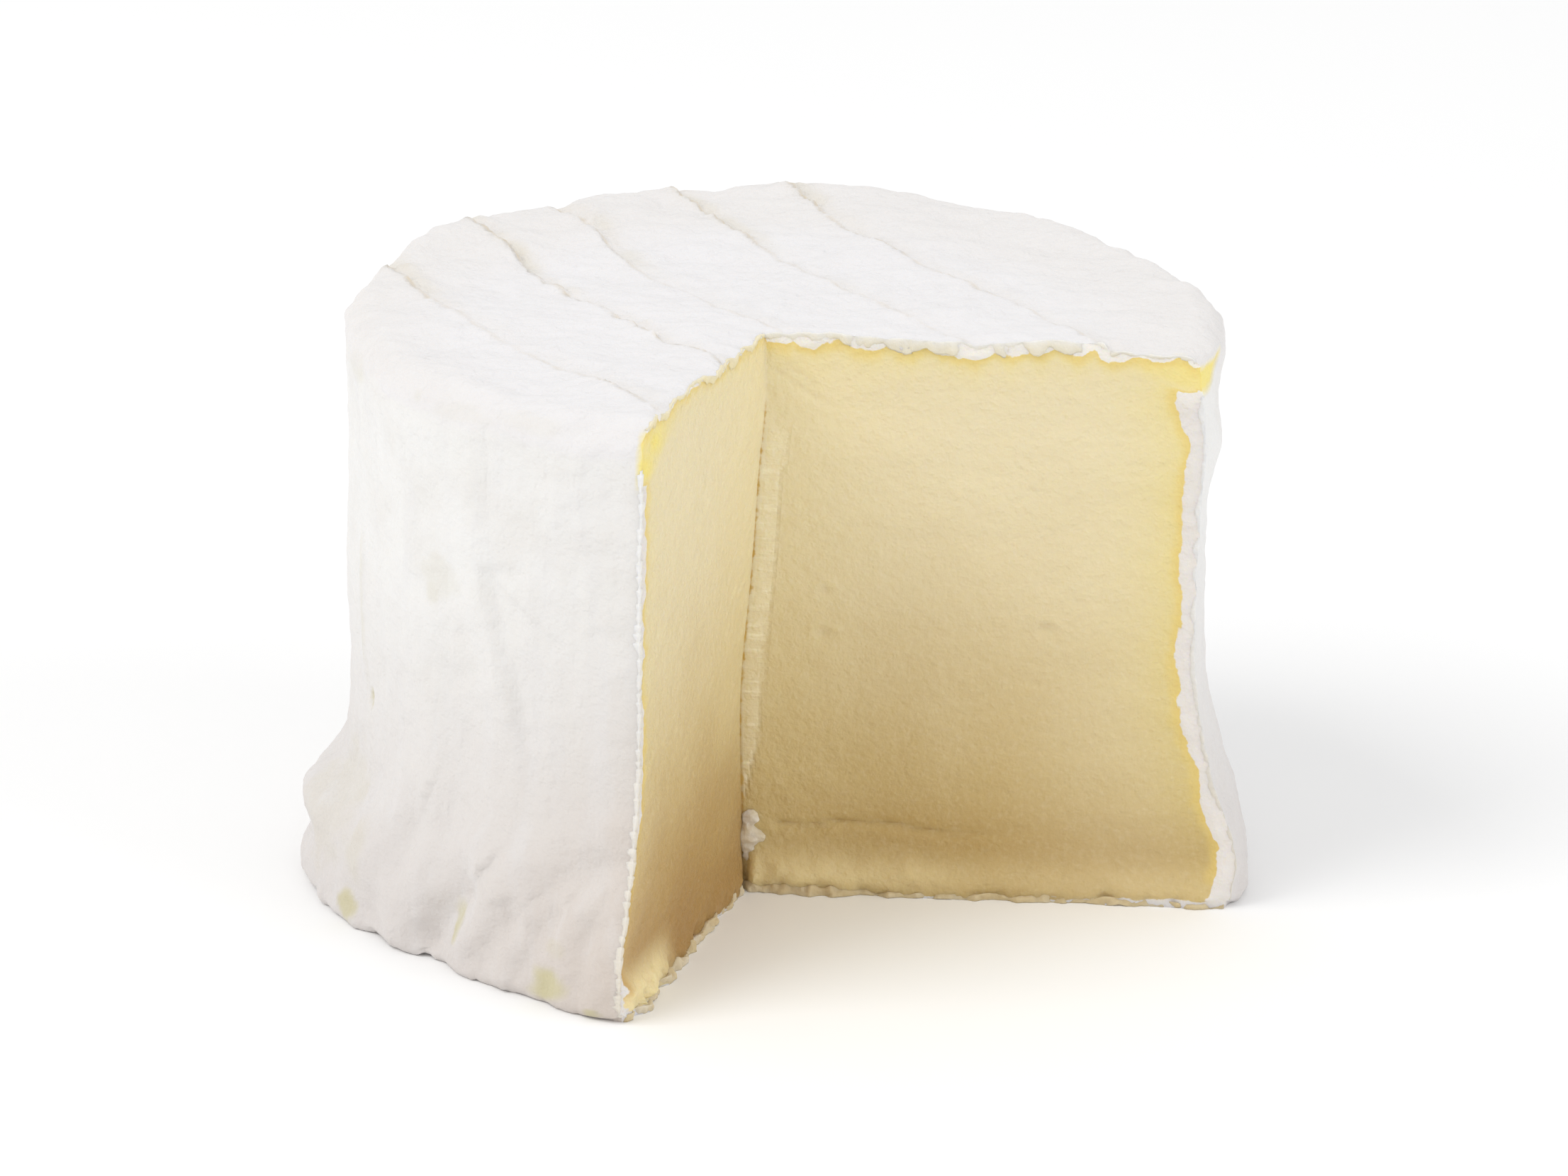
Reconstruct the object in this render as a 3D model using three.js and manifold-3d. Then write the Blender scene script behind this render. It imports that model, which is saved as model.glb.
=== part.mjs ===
// A small wheel of soft triple-cream cheese with a bloomy white rind and a wedge cut out of it.
// Millimetres, +Z up. The wheel stands on its flat underside, with the cut towards -Y and +X.
import * as THREE from "three";
import { mergeVertices } from "three/addons/utils/BufferGeometryUtils.js";
import Module from "manifold-3d";

// The wheel, as it left its mould: a drum with a rounded rim, a little higher at the back.
const wheelRadius = 39.2;
const wheelHeight = 53.9;
const topTiltDegrees = 2;
const rimRound = 3.6;

// The foot, where the curd sagged: a slow flare, and below it a soft roll.
const footRound = 1.2;
const flareHeight = 24;
const flareOut = 1.3;
const rollHeight = 19;
const rollOut = 1.4;

// Where the roll folded over itself: a lower, steeper lip with a crease under it.
const folds = [
  { at: -168, wide: 26 },
  { at: 84, wide: 34 },
];
const foldDrop = 7;
const creaseHeight = 4.8;
const creaseDepth = 1.2;

// The lumps of the roll: the direction of each in degrees, its width and how far out it reaches.
const rollLumps = [
  { at: -164, wide: 24, out: 2.1 },
  { at: -133, wide: 6, out: -1.2 },
  { at: -104, wide: 10, out: 2.6 },
  { at: -8, wide: 15, out: 1.2 },
  { at: 24, wide: 18, out: 2 },
  { at: 66, wide: 16, out: 1.2 },
  { at: 103, wide: 20, out: 2.1 },
  { at: 146, wide: 15, out: 1.5 },
];

// The lines that the wires of the drying rack pressed into the top.
const rackDirection = -53;
const rackLines = [-27.4, -15.8, -6.7, 7.4, 17.7];
const rackWidth = 1.6;
const rackDepth = 0.6;

// A lump of rind under the rim, beside the right-hand face of the cut.
const lump = { at: -6, height: 43.5, wide: 10, tall: 4.5, out: 0.9 };

// The cut: its corner at the foot and at the top, and the direction of its two faces in degrees.
const footCorner = { x: -2.9, y: -7.5 };
const topCorner = { x: -1.9, y: -8.8 };
const leftFace = -104.2;
const rightFace = 0.5;
const cutReach = 70;
const cutMargin = 5;

// How finely the surface is divided.
const aroundSteps = 120;
const undersideRings = 2;
const footRings = 2;
const rollRings = 7;
const wallRings = 8;
const rimRings = 4;
const topRings = 18;

const radians = THREE.MathUtils.degToRad;
const rise = THREE.MathUtils.smoothstep;
const blend = THREE.MathUtils.lerp;

// A rounded hump of height 1 that is about twice as wide as the given width.
const hump = (distance, width) => Math.exp(-((distance / width) ** 2));

// How far an angle lies from a direction, in degrees, the short way round.
function degreesApart(angle, direction) {
  const apart = THREE.MathUtils.radToDeg(angle) - direction;
  return THREE.MathUtils.euclideanModulo(apart + 180, 360) - 180;
}

// The half section of a plain drum, from the middle of the underside to the middle of the top.
function drumProfile() {
  const wallTop = wheelHeight - rimRound;
  const points = [];
  const addWall = (from, to, rings) => {
    for (let i = 1; i <= rings; i++) {
      points.push(new THREE.Vector2(wheelRadius, blend(from, to, i / rings)));
    }
  };
  for (let i = 0; i < undersideRings; i++) {
    points.push(new THREE.Vector2((i / undersideRings) * (wheelRadius - footRound), 0));
  }
  const foot = new THREE.Path();
  foot.absarc(wheelRadius - footRound, footRound, footRound, -Math.PI / 2, 0);
  points.push(...foot.getPoints(footRings));
  addWall(footRound, rollHeight, rollRings);
  addWall(rollHeight, wallTop, wallRings);
  const rim = new THREE.Path();
  rim.absarc(wheelRadius - rimRound, wallTop, rimRound, 0, Math.PI / 2);
  points.push(...rim.getPoints(rimRings).slice(1));
  for (let i = 1; i <= topRings; i++) {
    points.push(new THREE.Vector2((1 - i / topRings) * (wheelRadius - rimRound), wheelHeight));
  }
  return points;
}

// How far the wall stands out from the drum.
function wallSwell(angle, z) {
  const fold = folds.reduce((sum, { at, wide }) => sum + hump(degreesApart(angle, at), wide), 0);
  const roll = 1 - rise(z, creaseHeight - 3 + 5 * fold, rollHeight - foldDrop * fold);
  const lumps = rollLumps.map(({ at, wide, out }) => out * hump(degreesApart(angle, at), wide));
  const rollSwell = rollOut + lumps.reduce((sum, out) => sum + out, 0);
  const crease = creaseDepth * fold * hump(z - creaseHeight, 1.7);
  const waves =
    0.35 * Math.sin(2 * angle + 1.3) * Math.sin(z / 17 + 2.2) -
    0.5 * Math.cos(angle - 0.3) * rise(z, 14, 30) +
    0.18 * Math.sin(5 * angle - 0.7 - z / 13) +
    0.12 * Math.sin(11 * angle + 2.1 + z / 27);
  const lumpSwell = lump.out * hump(degreesApart(angle, lump.at), lump.wide) * hump(z - lump.height, lump.tall);
  return flareOut * (1 - rise(z, 4, flareHeight)) + roll * rollSwell - crease + waves + lumpSwell;
}

// The relief of the top: soft swells, and a trough along each line of the rack.
function topRelief(x, y) {
  const turn = radians(rackDirection);
  const across = y * Math.cos(turn) - x * Math.sin(turn);
  const along = x * Math.cos(turn) + y * Math.sin(turn);
  let height = 0.25 * Math.sin(x / 9 + 0.4) * Math.cos(y / 11 - 0.9);
  rackLines.forEach((line, i) => {
    const wander = 0.5 * Math.sin(along / 9 + 2 * i);
    height -= rackDepth * hump(across - line - wander, rackWidth);
  });
  return height;
}

function wheelGeometry() {
  const wheel = new THREE.LatheGeometry(drumProfile(), aroundSteps);
  wheel.rotateX(Math.PI / 2);
  wheel.deleteAttribute("normal");
  wheel.deleteAttribute("uv");
  const merged = mergeVertices(wheel, 1e-3);
  const place = merged.getAttribute("position");
  for (let i = 0; i < place.count; i++) {
    const x = place.getX(i);
    const y = place.getY(i);
    const z = place.getZ(i);
    const radius = Math.hypot(x, y);
    const swell = wallSwell(Math.atan2(y, x), z) * rise(radius, 0, wheelRadius);
    const grow = radius > 0 ? 1 + swell / radius : 1;
    const tilt = Math.tan(radians(topTiltDegrees)) * y * (z / wheelHeight);
    const relief = topRelief(x, y) * rise(z, wheelHeight - rimRound, wheelHeight);
    place.setXYZ(i, x * grow, y * grow, z + tilt + relief);
  }
  return merged;
}

// The wedge that the knife took out: a prism whose corner leans a little.
function wedgeGeometry() {
  const along = (degrees) => new THREE.Vector2(cutReach, 0).rotateAround(new THREE.Vector2(), radians(degrees));
  const outerCorner = new THREE.Vector2(cutReach, -cutReach);
  const outline = new THREE.Shape([new THREE.Vector2(), along(leftFace), outerCorner, along(rightFace)]);
  const depth = wheelHeight + 2 * cutMargin;
  const wedge = new THREE.ExtrudeGeometry(outline, { depth, bevelEnabled: false });
  wedge.deleteAttribute("normal");
  wedge.deleteAttribute("uv");
  const merged = mergeVertices(wedge, 1e-3);
  const place = merged.getAttribute("position");
  for (let i = 0; i < place.count; i++) {
    const z = place.getZ(i) - cutMargin;
    const cornerX = blend(footCorner.x, topCorner.x, z / wheelHeight);
    const cornerY = blend(footCorner.y, topCorner.y, z / wheelHeight);
    place.setXYZ(i, place.getX(i) + cornerX, place.getY(i) + cornerY, z);
  }
  return merged;
}

const wasm = await Module();
wasm.setup();

function solidFrom(geometry) {
  const vertProperties = new Float32Array(geometry.getAttribute("position").array);
  const triVerts = new Uint32Array(geometry.index.array);
  return new wasm.Manifold(new wasm.Mesh({ numProp: 3, vertProperties, triVerts }));
}

function geometryFrom(solid) {
  const mesh = solid.getMesh();
  const geometry = new THREE.BufferGeometry();
  geometry.setAttribute("position", new THREE.BufferAttribute(mesh.vertProperties, 3));
  geometry.setIndex(new THREE.BufferAttribute(mesh.triVerts, 1));
  geometry.computeVertexNormals();
  return geometry;
}

const cutWheel = geometryFrom(solidFrom(wheelGeometry()).subtract(solidFrom(wedgeGeometry())));

// The origin is under the middle of the cut wheel's bounding box.
cutWheel.computeBoundingBox();
const middle = cutWheel.boundingBox.getCenter(new THREE.Vector3());
cutWheel.translate(-middle.x, -middle.y, 0);

const cheese = new THREE.Mesh(
  cutWheel,
  new THREE.MeshStandardMaterial({ color: 0xf1ede4, roughness: 0.85, metalness: 0 }),
);
cheese.name = "cheese_wheel";

const group = new THREE.Group();
group.add(cheese);

export default group;
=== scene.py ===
import math

import bmesh
import bpy
import numpy as np
from mathutils import Matrix, Vector


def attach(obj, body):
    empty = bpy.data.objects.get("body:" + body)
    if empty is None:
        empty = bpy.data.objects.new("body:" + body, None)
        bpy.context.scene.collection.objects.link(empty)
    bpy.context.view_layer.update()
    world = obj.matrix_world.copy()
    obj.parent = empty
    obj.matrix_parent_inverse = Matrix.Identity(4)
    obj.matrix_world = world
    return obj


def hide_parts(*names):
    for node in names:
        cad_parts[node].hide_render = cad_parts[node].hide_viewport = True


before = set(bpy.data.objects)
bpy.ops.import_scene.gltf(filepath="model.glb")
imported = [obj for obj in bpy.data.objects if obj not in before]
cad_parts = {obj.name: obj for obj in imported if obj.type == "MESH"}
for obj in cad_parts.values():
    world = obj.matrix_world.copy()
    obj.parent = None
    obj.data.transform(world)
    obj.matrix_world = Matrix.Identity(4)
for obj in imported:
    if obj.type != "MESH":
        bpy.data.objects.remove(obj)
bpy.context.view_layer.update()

# The studio: a wide pale table under a white room, with a large soft lamp high on the left and a
# weak one on the right. The camera stands half a metre off and looks down at the cheese.
MM = 0.001
camera_place = Vector((36.2, -543.7, 203.8)) * MM
camera_aim = Vector((0, 0, 26.5)) * MM
camera_roll = math.radians(1.33)
seen_width = 0.144
table_radius = 3.0
room_strength = 0.78


def orthonormal(forward, roll):
    """The camera's turn: it looks along forward and leans to its side by roll."""
    level = forward.cross(Vector((0, 0, 1))).normalized()
    upright = level.cross(forward)
    right = level * math.cos(roll) + upright * math.sin(roll)
    up = upright * math.cos(roll) - level * math.sin(roll)
    return Matrix((right, up, -forward)).transposed()


look = camera_aim - camera_place
camera = bpy.data.objects.new("camera", bpy.data.cameras.new("camera"))
camera_turn = orthonormal(look.normalized(), camera_roll)
camera.matrix_world = Matrix.Translation(camera_place) @ camera_turn.to_4x4()
camera.data.lens = camera.data.sensor_width * look.length / seen_width
camera.data.clip_start = 0.01
bpy.context.scene.collection.objects.link(camera)
bpy.context.scene.camera = camera
bpy.context.scene.view_settings.view_transform = "Standard"

room = bpy.data.worlds.new("white_room")
room.use_nodes = True
room.node_tree.nodes["Background"].inputs["Color"].default_value = (1, 1, 1, 1)
room.node_tree.nodes["Background"].inputs["Strength"].default_value = room_strength
bpy.context.scene.world = room

for name, place, size, watts, warmth in (
    ("high_left_lamp", (-1.0, -0.6, 1.3), 1.0, 11.5, (1, 1, 0.99)),
    ("right_lamp", (1.3, -0.5, 0.8), 1.0, 5.0, (0.98, 0.99, 1)),
):
    lamp = bpy.data.objects.new(name, bpy.data.lights.new(name, "AREA"))
    lamp.data.size = size
    lamp.data.energy = watts
    lamp.data.color = warmth
    lamp.location = place
    lamp.rotation_euler = (-Vector(place)).to_track_quat("-Z", "Y").to_euler()
    bpy.context.scene.collection.objects.link(lamp)


class Value:
    """A number that varies over a surface. Sums and products of it add Math nodes."""

    def __init__(self, surface, output):
        self.surface = surface
        self.output = output

    def math(self, operation, first, second):
        return self.surface.node("ShaderNodeMath", {"operation": operation}, {0: first, 1: second})

    def __add__(self, other):
        return self.math("ADD", self, other)

    def __sub__(self, other):
        return self.math("SUBTRACT", self, other)

    def __rsub__(self, other):
        return self.math("SUBTRACT", other, self)

    def __mul__(self, other):
        return self.math("MULTIPLY", self, other)

    __radd__ = __add__
    __rmul__ = __mul__


class Surface:
    """A material and its nodes, for a mesh in metres whose patterns are given in millimetres."""

    def __init__(self, name):
        self.material = bpy.data.materials.new(name)
        self.material.use_nodes = True
        self.material.node_tree.nodes.clear()

    def node(self, kind, settings, inputs, output=0):
        """Adds a node, sets its settings, then fills its sockets with numbers or links."""
        tree = self.material.node_tree
        made = tree.nodes.new(kind)
        for name, setting in settings.items():
            setattr(made, name, setting)
        for name, value in inputs.items():
            if isinstance(value, Value):
                tree.links.new(value.output, made.inputs[name])
            else:
                made.inputs[name].default_value = value
        return Value(self, made.outputs[output])

    def noise(self, size, detail=2.0):
        """Noise from 0 to 1 with blobs of about size mm, one number or three."""
        place = self.node("ShaderNodeTexCoord", {}, {}, output="Object")
        blobs = (np.full(3, 1 / MM) / size).tolist()
        place = self.node("ShaderNodeVectorMath", {"operation": "MULTIPLY"}, {0: place, 1: blobs})
        return self.node("ShaderNodeTexNoise", {}, {"Vector": place, "Scale": 1.0, "Detail": detail})

    def painted(self, attribute):
        """A number that the mesh holds at each of its points."""
        return self.node("ShaderNodeAttribute", {"attribute_name": attribute}, {}, output="Fac")

    def rise(self, value, low, high):
        """0 below low, 1 above high, and a smooth S between them."""
        inputs = {"Value": value, "From Min": low, "From Max": high}
        return self.node("ShaderNodeMapRange", {"interpolation_type": "SMOOTHSTEP"}, inputs)

    def mix(self, share, first, second):
        """The colour that goes from first to second as share goes from 0 to 1."""
        inputs = {0: share, 6: first, 7: second}
        return self.node("ShaderNodeMix", {"data_type": "RGBA"}, inputs, output=2)

    def bump(self, height):
        """A normal that follows height, in millimetres."""
        return self.node("ShaderNodeBump", {}, {"Height": height, "Distance": MM}, output="Normal")

    def finish(self, **sockets):
        """Ends the material in one Principled shader with these sockets."""
        inputs = {name.replace("_", " "): value for name, value in sockets.items()}
        shader = self.node("ShaderNodeBsdfPrincipled", {}, inputs)
        tree = self.material.node_tree
        end = tree.nodes.new("ShaderNodeOutputMaterial")
        tree.links.new(shader.output, end.inputs["Surface"])
        return self.material


def paint(red, green, blue):
    """A colour given as it looks on a screen, 0 to 255, as the shader wants it."""
    share = np.array((red, green, blue)) / 255
    linear = np.where(share < 0.04045, share / 12.92, ((share + 0.055) / 1.055) ** 2.4)
    return (*linear.tolist(), 1.0)


bpy.ops.mesh.primitive_circle_add(vertices=96, radius=table_radius, fill_type="NGON")
table = bpy.context.object
table.name = "table"
table_paint = Surface("table_paint")
table.data.materials.append(table_paint.finish(
    Base_Color=paint(249, 249, 249), Roughness=0.9, Specular_IOR_Level=0.1))

# The cheese: a small drum of soft triple-cream paste in one skin of white mould. It was drained in
# a mould, sagged onto its foot, dried on a wire rack, ripened, and over a quarter was cut away.
# All its sizes are in millimetres from the wheel's own axis, which stands beside the origin, and
# directions round it are in degrees from +X.
wheel_axis = np.array((0.187, -0.375, 0))
wheel_radius = 39.2
wheel_height = 53.9
top_tilt = math.tan(math.radians(2))
rim_round = 3.0
foot_round = 1.2
flare_height = 24
flare_out = 1.3
roll_height = 19
roll_out = 1.4
fold_drop = 7
crease_height = 4.8
crease_depth = 1.5

# Folds and creases of the foot's roll have a direction and a width in degrees, and the roll's lumps
# also how far they stand out. The lumps under the rim have a height and a height of their own too.
folds = ((-168, 26), (84, 34))
creases = ((-176, 13), (84, 30))
roll_lumps = (
    (-164, 24, 2.1), (-133, 6, -1.2), (-104, 10, 2.6), (-8, 15, 1.2),
    (24, 18, 2), (66, 16, 1.2), (103, 20, 2.1), (146, 15, 1.5),
)
rim_lumps = ((-4, 10, 43.8, 3.2, 0.9), (-172, 45, 52, 10, 0.6), (6, 20, 52.5, 4, 1.0))

# The two cuts meet in a corner line that leans, and the left one turns a little on its way up.
foot_corner = np.array((-2.9, -7.5))
top_corner = np.array((-1.9, -8.8))
right_face = 0.5
left_face_at_foot = -102.6
left_face_at_top = -105.4


def rise(x, low, high):
    """0 below low, 1 above high, and a smooth S between them."""
    t = np.clip((x - low) / (high - low), 0, 1)
    return t * t * (3 - 2 * t)


def hump(distance, width):
    """A round bump that is 1 at distance 0 and dies out over about twice its width."""
    return np.exp(-((distance / width) ** 2))


def degrees_apart(angle, direction):
    """How many degrees an angle in radians lies to the left of a direction in degrees."""
    return (np.degrees(angle) - direction + 180) % 360 - 180


def cloud(points, size, seed):
    """Smooth noise from -1 to 1 whose blobs are about size across, one number or three.

    Each seed gives a noise of its own, the same one each time.
    """
    source = np.random.default_rng(seed)
    lattice = source.uniform(-1, 1, (32, 32, 32))
    place = points / size + source.uniform(0, 32, 3)
    cell = np.floor(place).astype(int)
    part = place - cell
    part = part * part * (3 - 2 * part)
    total = 0
    for corner in np.ndindex(2, 2, 2):
        x, y, z = np.moveaxis((cell + corner) % 32, -1, 0)
        total = total + lattice[x, y, z] * np.prod(np.where(corner, part, 1 - part), axis=-1)
    return total


def clouds(points, size, seed):
    """Noise with three finer layers, each half as strong as the one before."""
    return sum(cloud(points, np.divide(size, 2**i), seed + i) / 2**i for i in range(3)) / 1.4


def beside(places, line):
    """How far places lie from a line of points, above 0 on its right, and their share along it."""
    line = np.array(line, float)
    steps = np.diff(line, axis=0)
    runs = np.linalg.norm(steps, axis=-1)
    gaps = np.full(places.shape[:-1], 1e9)
    shares = np.zeros(places.shape[:-1])
    for start, step, run, before in zip(line[:-1], steps, runs, np.cumsum(runs) - runs):
        away = places - start
        t = np.clip(away @ step / run**2, 0, 1)
        gap = np.linalg.norm(away - t[..., None] * step, axis=-1)
        on_right = away[..., 0] * step[1] > away[..., 1] * step[0]
        nearer = gap < np.abs(gaps)
        gaps = np.where(nearer, np.where(on_right, gap, -gap), gaps)
        shares = np.where(nearer, (before + t * run) / runs.sum(), shares)
    return gaps, shares


def wall_swell(angle, z):
    """How far the wall stands out from a plain drum: the flared foot, its roll, and the lumps."""
    fold = sum(hump(degrees_apart(angle, at), wide) for at, wide in folds)
    roll = 1 - rise(z, crease_height - 3 + 6 * fold, roll_height - fold_drop * fold)
    lumps = sum(out * hump(degrees_apart(angle, at), wide) for at, wide, out in roll_lumps)
    swell = flare_out * (1 - rise(z, 4, flare_height)) + roll * (roll_out + lumps)
    creased = sum(hump(degrees_apart(angle, at), wide) for at, wide in creases)
    swell = swell - crease_depth * creased * hump(z - crease_height, 1.7)
    swell = swell + (
        0.35 * np.sin(2 * angle + 1.3) * np.sin(z / 17 + 2.2)
        - 0.8 * np.cos(angle - 0.3) * rise(z, 14, 30)
        + 0.18 * np.sin(5 * angle - 0.7 - z / 13)
        + 0.12 * np.sin(11 * angle + 2.1 + z / 27)
    )
    return swell + sum(
        out * hump(degrees_apart(angle, at), wide) * hump(z - level, tall)
        for at, wide, level, tall, out in rim_lumps
    )


# The wires of the drying rack left five lines in the top. Each is a thin crack at the foot of a
# small step, whose upper side swells towards it.
rack_direction = math.radians(-53)
rack_lines = (-28.6, -16.3, -6.7, 6.1, 16.2)
rack_spacing = 11.0


def rack_place(points):
    """The rack line's number at each point, with shares between lines, and the way along it."""
    x, y = points[..., 0], points[..., 1]
    along = x * math.cos(rack_direction) + y * math.sin(rack_direction)
    across = y * math.cos(rack_direction) - x * math.sin(rack_direction)
    bow = 3.4 * rise(-along, 8, 40) + 1.6 * rise(along, -2, 18)
    level = np.stack([x, y, 0 * x], axis=-1)
    wander = 0.6 * cloud(level, 7, 81) + 0.3 * cloud(level, 2.6, 82)
    ends = [rack_lines[0] - 6, *rack_lines, rack_lines[-1] + 6]
    return np.interp(across - bow - wander, ends, [-0.5, 0, 1, 2, 3, 4, 4.5]), along


def rack_strength(place, along, points):
    """How clearly a rack line shows: best near the far left rim, and faint in some stretches."""
    line = np.interp(place, np.arange(5), (0.9, 1, 0.65, 0.85, 0.8))
    stretch = 0.55 + 0.45 * cloud(points * (1, 1, 0), 6, 84) + 0.55 * rise(-along, 10, 32)
    return np.clip(line * stretch, 0.12, 1.1)


def top_relief(points):
    """The top's own forms: broad swells, and at each rack line a lip, a drop and rough lumps."""
    place, along = rack_place(points)
    gap = (place - np.round(place)) * rack_spacing
    strength = rack_strength(place, along, points) * (1 - rise(np.abs(gap), 3.5, 5.4))
    lip = 0.4 * np.exp(-np.abs(gap) / 1.7) * rise(-gap, -0.35, 0.2)
    drop = -0.48 * np.exp(-np.abs(gap) / 1.6) * rise(gap, -0.2, 0.35)
    rough = 0.6 * hump(gap - 1.2, 1.7) * clouds(points, 2.4, 83)
    swells = 0.25 * np.sin(points[..., 0] / 9 + 0.4) * np.cos(points[..., 1] / 11 - 0.9)
    swells += 0.4 * cloud(points, 9, 85)
    return swells + strength * (lip + drop + rough)


# The skin is a net of half sections round the knife's corner line. Its rows run from the foot up
# the wall, over the rim and back to that line; its columns run from cut to cut.
foot_rows, wall_rows, rim_rows, top_rows = 8, 118, 14, 78
side_rows = foot_rows + wall_rows + rim_rows // 2
columns = 300


def half_section():
    """For each row: the share of the way out, how far in from the wall it lies, and its height."""
    turn = np.linspace(0, np.pi / 2, foot_rows, endpoint=False)
    rim_turn = np.linspace(0, np.pi / 2, rim_rows, endpoint=False)
    wall_top = wheel_height - rim_round
    top_out = np.linspace(1, 0, top_rows) ** 1.25
    share = np.concatenate([np.ones(foot_rows + wall_rows + rim_rows), top_out])
    inset = np.concatenate([
        foot_round * (1 - np.sin(turn)), np.zeros(wall_rows),
        rim_round * (1 - np.cos(rim_turn)), np.full(top_rows, rim_round),
    ])
    height = np.concatenate([
        foot_round * (1 - np.cos(turn)), np.linspace(foot_round, wall_top, wall_rows, endpoint=False),
        wall_top + rim_round * np.sin(rim_turn), np.full(top_rows, wheel_height),
    ])
    return share[:, None], inset[:, None], height[:, None]


def corner_at(z):
    """Where the straight corner line of the two cuts stands at height z."""
    level = z[..., None] / wheel_height
    return foot_corner * (1 - level) + top_corner * level


def knife_drift(place):
    """How far the cuts stray beside their corner line, where the knife wandered and went too deep."""
    rho, z = place[..., 0], place[..., 1]
    wander = (0.4 * hump(z - 47, 5) - 0.8 * hump(z - 19, 11)) * hump(rho, 7)
    deep = 0.04 * rise(z, 6, 9) * (1 - rise(z, 43, 47)) * hump(rho, 0.22)
    return np.stack([wander - 0.3 * deep, deep, 0 * deep], axis=-1)


share, inset, height = half_section()
rows = len(share)
spread = np.linspace(-1, 1, columns)
spread = 0.5 + 0.5 * (0.8 * spread + 0.2 * spread**3 + 0.08 * np.sin(np.pi * spread))
left_face = left_face_at_foot + (left_face_at_top - left_face_at_foot) * height / wheel_height
bearing = np.radians(right_face + (left_face + 360 - right_face) * spread[None, :])
heading = np.stack([np.cos(bearing), np.sin(bearing)], axis=-1)
corner = corner_at(height + 0 * bearing)

# The way out from the corner line to the wall is found in a few steps, as the wall isn't round.
reach = np.full(bearing.shape, wheel_radius)
for _ in range(12):
    place = corner + reach[..., None] * heading
    angle = np.arctan2(place[..., 1], place[..., 0])
    wall = wheel_radius + wall_swell(angle, height)
    reach = reach + wall - np.hypot(place[..., 0], place[..., 1])
out = share * (reach - inset)
right_gap = out * (bearing - bearing[:, :1])
left_gap = out * (bearing[:, -1:] - bearing)
flat = corner + out[..., None] * heading
lift = height + top_tilt * flat[..., 1] * height / wheel_height
skin = np.dstack([flat, lift])
rim_by_cut = hump(height - wheel_height + 1.2, 2.2) * hump(left_gap, 4)
skin[..., 2] += rim_by_cut * rise(out, 20, 34)
on_top = rise(height + 0 * out, wheel_height - 2, wheel_height)
skin[..., 2] += on_top * top_relief(skin)


def net_normals(net):
    """The outward direction at each point of a net whose rows run up and columns run round."""
    up = np.gradient(net, axis=0)
    around = np.gradient(net, axis=1)
    normal = np.cross(around, up)
    return normal / np.maximum(np.linalg.norm(normal, axis=-1, keepdims=True), 1e-9)


# The wall's own marks, each at a direction and a height: a long fold that overlaps from the left, a
# drip down the far left, and puckers where the foot sagged, each with its width and depth. The thin
# cream spots have a direction, a height, a width, a height of their own and a strength.
fold_line = (
    (-119.5, 15), (-121.2, 20), (-122.1, 24), (-123.6, 28), (-125.5, 31.6), (-127, 34.5),
    (-128, 37.3), (-122.4, 38.4), (-117.3, 39.1),
)
drip_line = ((-158.8, 37.5), (-158, 28), (-159.5, 20), (-150, 9), (-149, 4))
puckers = (
    (((-134.2, 2.4), (-133.1, 3.5), (-130.2, 5.8), (-128.3, 7.6)), 1.7, 0.6),
    (((-117.2, 9.7), (-112.6, 11.2), (-107.7, 13.3)), 1.5, 0.4),
    (((-124.6, 2.2), (-122.9, 4.3), (-120.4, 6.6)), 1.4, 0.5),
    (((-118.4, 3.2), (-116.3, 5.8), (-114.3, 8)), 1.2, 0.35),
    (((-144.6, 2.5), (-142, 7.7), (-140.1, 11)), 2.0, 0.45),
    (((-109.5, 3), (-108.5, 8)), 1.0, 0.3),
    (((-133, 26), (-131.5, 16), (-133, 8)), 3.2, 0.3),
)
spots = (
    (-150, 1.7, 1.3, 1.9, 0.9), (-130, 4.8, 1.0, 1.9, 0.9), (-114.2, 2.1, 1.9, 1.7, 1),
    (-107.6, 0.6, 0.9, 0.5, 0.8), (-149.5, 7.0, 1.6, 3.2, 0.2), (-154.2, 11.3, 1.1, 1.1, 0.2),
    (-135.5, 35.4, 2.6, 2.0, 0.13), (-137.4, 33.6, 0.9, 0.9, 0.2), (-156.8, 19.6, 0.6, 1.0, 1),
    (-158.6, 29, 0.7, 8, 0.22), (-139.6, 51.2, 0.8, 0.6, 0.22), (-131, 50.9, 4.0, 0.9, 0.13),
    (-121, 51.4, 4.4, 0.8, 0.12), (-160, 50.2, 2.4, 1.5, 0.2), (-113, 5.5, 1.2, 0.8, 0.22),
    (146, 9, 2.2, 1.6, 0.7), (96, 22, 1.6, 2.4, 0.5), (31, 6, 2.0, 1.5, 0.8),
    (62, 41, 2.6, 1.4, 0.25), (173, 30, 1.4, 2.2, 0.3), (-161, 9, 6, 6, 0.16),
)


def wall_place(angle, z):
    """Places on the wall, unrolled: millimetres round it and height."""
    return np.stack([np.where(angle > 1.7, angle - 2 * np.pi, angle) * wheel_radius, z], axis=-1)


def unrolled(line):
    """A line of directions in degrees and heights, as places on the unrolled wall."""
    line = np.array(line, float)
    return wall_place(np.radians(line[:, 0]), line[:, 1])


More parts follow.
